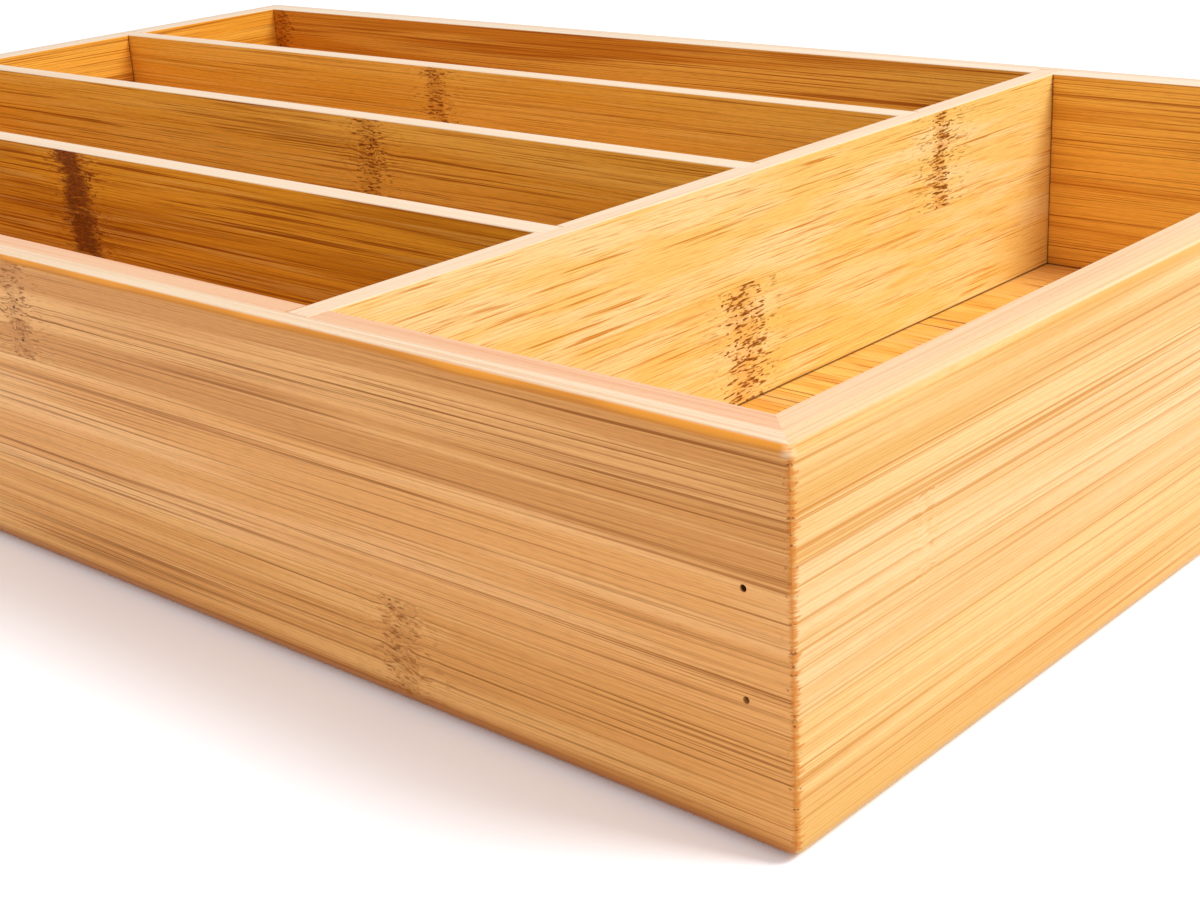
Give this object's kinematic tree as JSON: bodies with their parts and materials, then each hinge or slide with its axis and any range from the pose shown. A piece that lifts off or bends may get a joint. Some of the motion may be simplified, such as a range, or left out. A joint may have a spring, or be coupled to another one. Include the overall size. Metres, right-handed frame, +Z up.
{
  "type": "cutlery tray",
  "caption": "Rectangular natural bamboo cutlery tray with mitred walls, long bays along it and one cross bay at its end.",
  "frame": {"origin": "on the table, under the middle of the tray's outline", "axes": "+X along the tray towards the cross bay, +Y across it towards the rear wall, +Z up"},
  "size_m": [0.395, 0.245, 0.06],
  "materials": {
    "wall_outer_ply": "satin lacquered bamboo",
    "wall_inner_ply": "satin lacquered bamboo",
    "cross_divider": "satin lacquered bamboo",
    "long_divider": "satin lacquered bamboo",
    "floor_panel": "satin lacquered bamboo",
    "pin_steel": "plain drawn wire"
  },
  "bodies": {
    "root": {"front_wall_outer_ply": "wall_outer_ply", "front_wall_inner_ply": "wall_inner_ply", "rear_wall_outer_ply": "wall_outer_ply", "rear_wall_inner_ply": "wall_inner_ply", "left_wall_outer_ply": "wall_outer_ply", "left_wall_inner_ply": "wall_inner_ply", "right_wall_outer_ply": "wall_outer_ply", "right_wall_inner_ply": "wall_inner_ply", "cross_divider": "cross_divider", "front_long_divider": "long_divider", "middle_long_divider": "long_divider", "rear_long_divider": "long_divider", "floor_panel": "floor_panel", "corner_pins": "pin_steel"}
  },
  "joints": []
}
